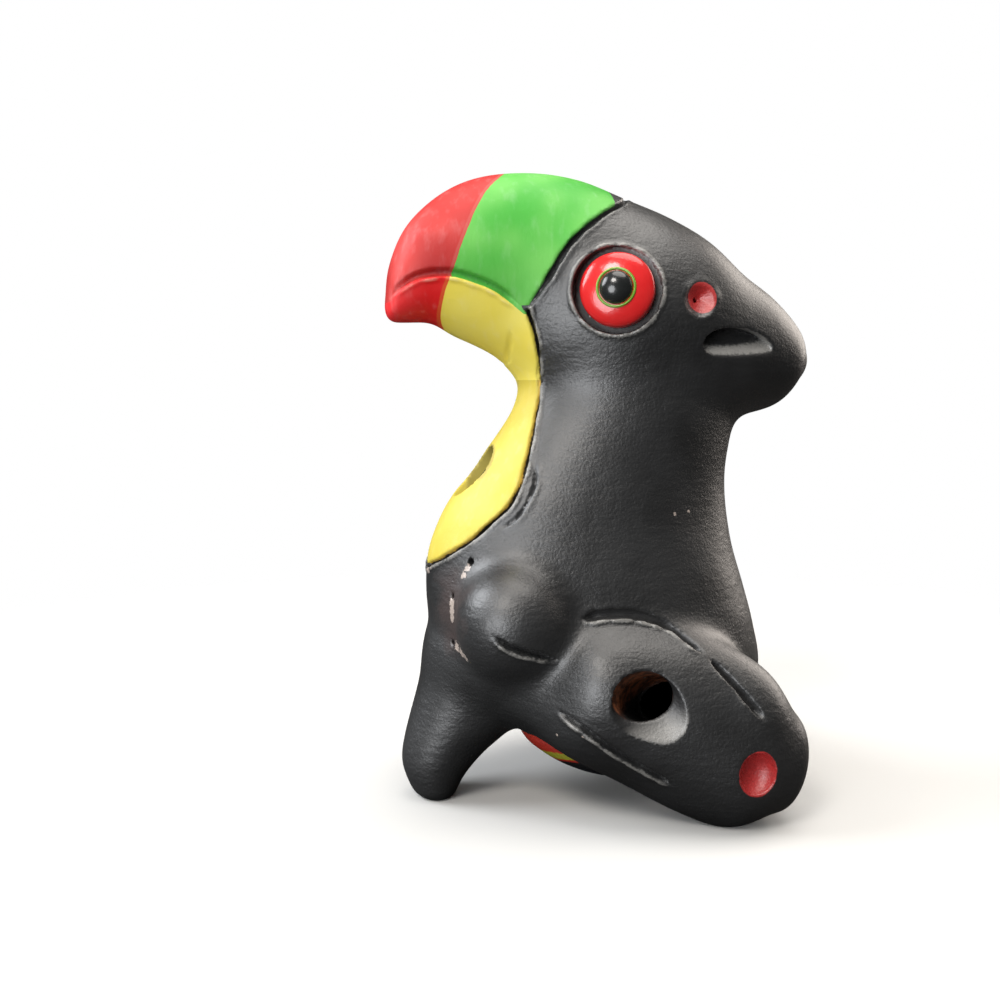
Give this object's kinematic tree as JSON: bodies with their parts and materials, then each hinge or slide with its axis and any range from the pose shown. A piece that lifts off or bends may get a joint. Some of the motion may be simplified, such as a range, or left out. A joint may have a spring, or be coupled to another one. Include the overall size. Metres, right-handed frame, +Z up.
{
  "type": "clay bird whistle",
  "caption": "Hollow hand-built clay bird whistle with a long painted beak, finger holes in its wings and throat, and a windway in its tail.",
  "frame": {"origin": "on the resting surface, under the middle of the whistle's bounding box", "axes": "+Z up, the beak points along -X, the bird's left side is -Y"},
  "size_m": [0.0811, 0.0662, 0.1156],
  "materials": {
    "black_slip": "satin black burnished slip",
    "green_red_paint": "satin paint on clay, green with a red tip",
    "yellow_red_paint": "satin paint on clay, yellow with a red tip",
    "yellow_paint": "satin yellow paint on clay",
    "red_paint": "satin red paint on clay",
    "eye_red": "glossy red",
    "eye_ring_green": "glossy yellow-green line",
    "eye_black": "glossy black bead"
  },
  "bodies": {
    "root": {"chamber_left": "black_slip", "chamber_right": "black_slip", "eye_disc_left": "eye_red", "eye_disc_right": "eye_red", "eye_ring_left": "eye_ring_green", "eye_ring_right": "eye_ring_green", "front_leg": "black_slip", "head_shell": "black_slip", "lower_beak": "yellow_red_paint", "nape_snout": "black_slip", "neck_shell": "black_slip", "pupil_left": "eye_black", "pupil_right": "eye_black", "shoulder_knob_left": "black_slip", "shoulder_knob_right": "black_slip", "tail_mouthpiece": "red_paint", "throat_bib": "yellow_paint", "upper_beak": "green_red_paint", "wing_left": "black_slip", "wing_right": "black_slip"}
  },
  "joints": []
}
